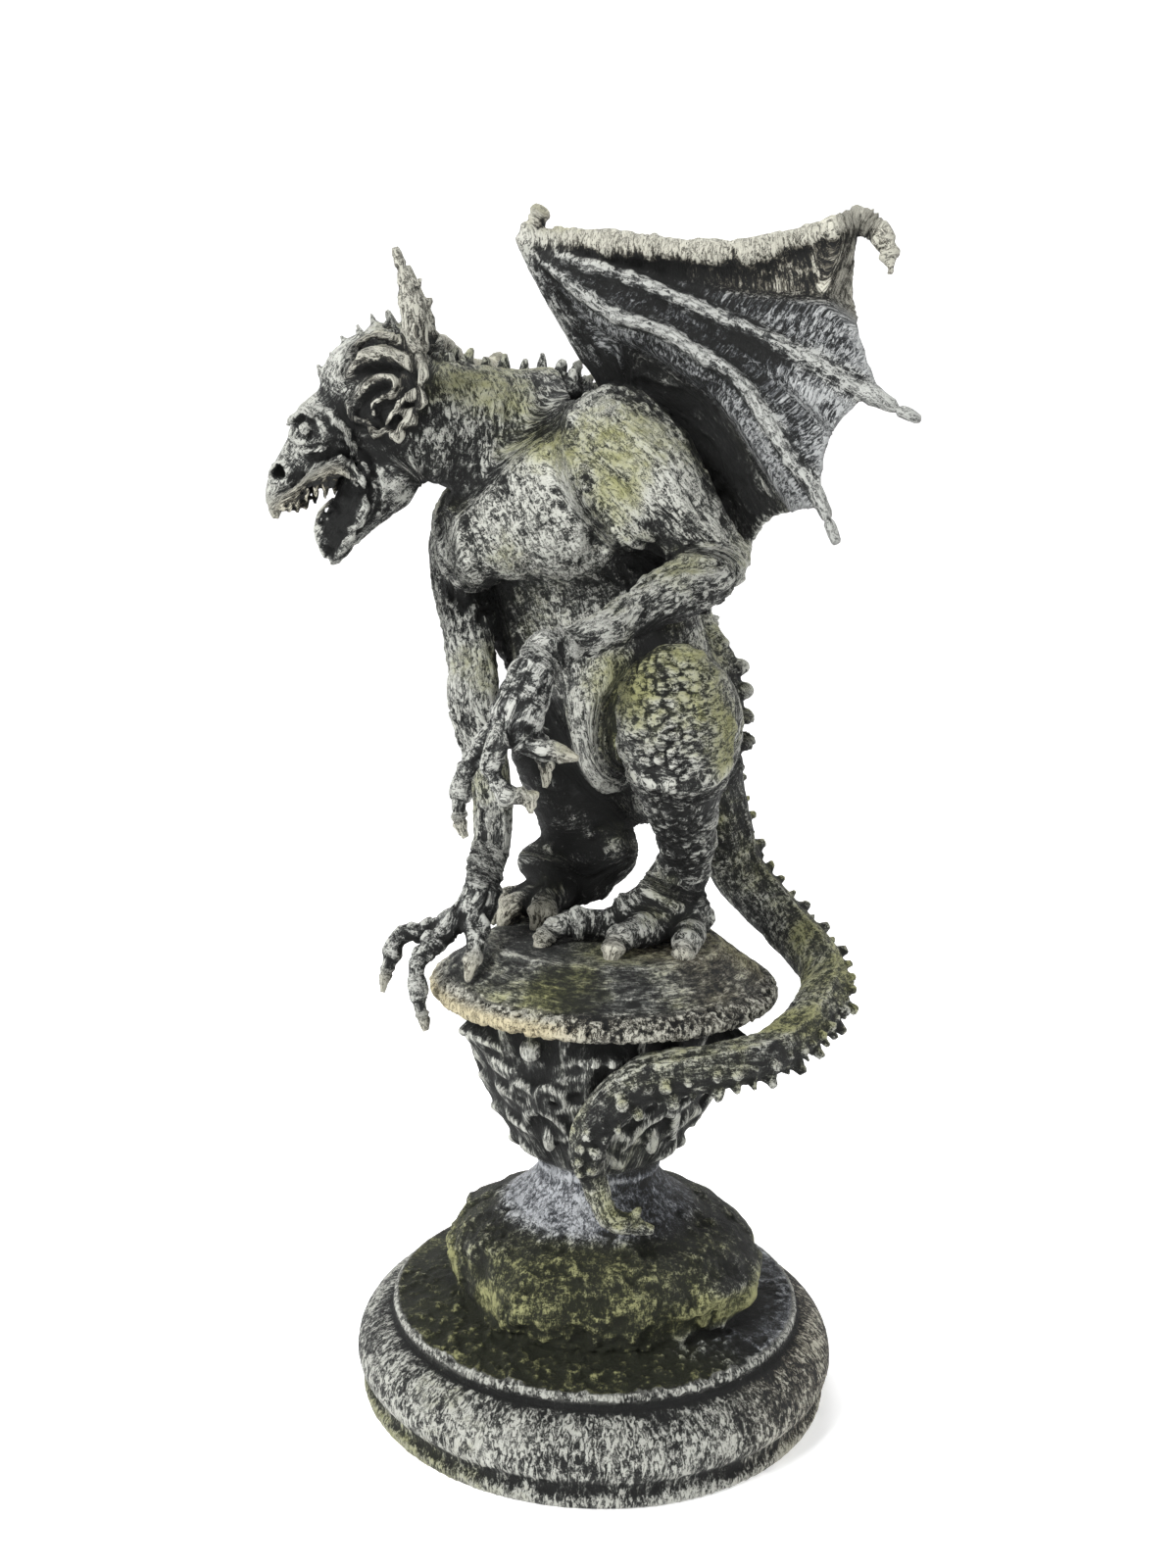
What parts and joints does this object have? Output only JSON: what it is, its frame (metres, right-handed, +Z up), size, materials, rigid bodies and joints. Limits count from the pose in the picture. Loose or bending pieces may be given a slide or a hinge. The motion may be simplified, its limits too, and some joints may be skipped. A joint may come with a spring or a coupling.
{
  "type": "gargoyle statue",
  "caption": "Crouching winged gargoyle with a hooked beak and a thorny hanging tail on a leafy urn pedestal, set on a shelf or table as an ornament",
  "frame": {"origin": "centre of the pedestal's round underside", "axes": "+Z up; the statue's front, which the tail crosses, faces -Y; the gargoyle's beak points to -X"},
  "size_m": [0.1472, 0.1903, 0.2848],
  "materials": {
    "painted stone figure": "dark wash with pale dry-brushed high points and a little moss green, matte",
    "painted stone pedestal": "dark wash with pale dry-brushed high points, moss green and ochre patches, matte"
  },
  "bodies": {
    "root": {"gargoyle": "painted stone figure", "pedestal": "painted stone pedestal"}
  },
  "joints": []
}
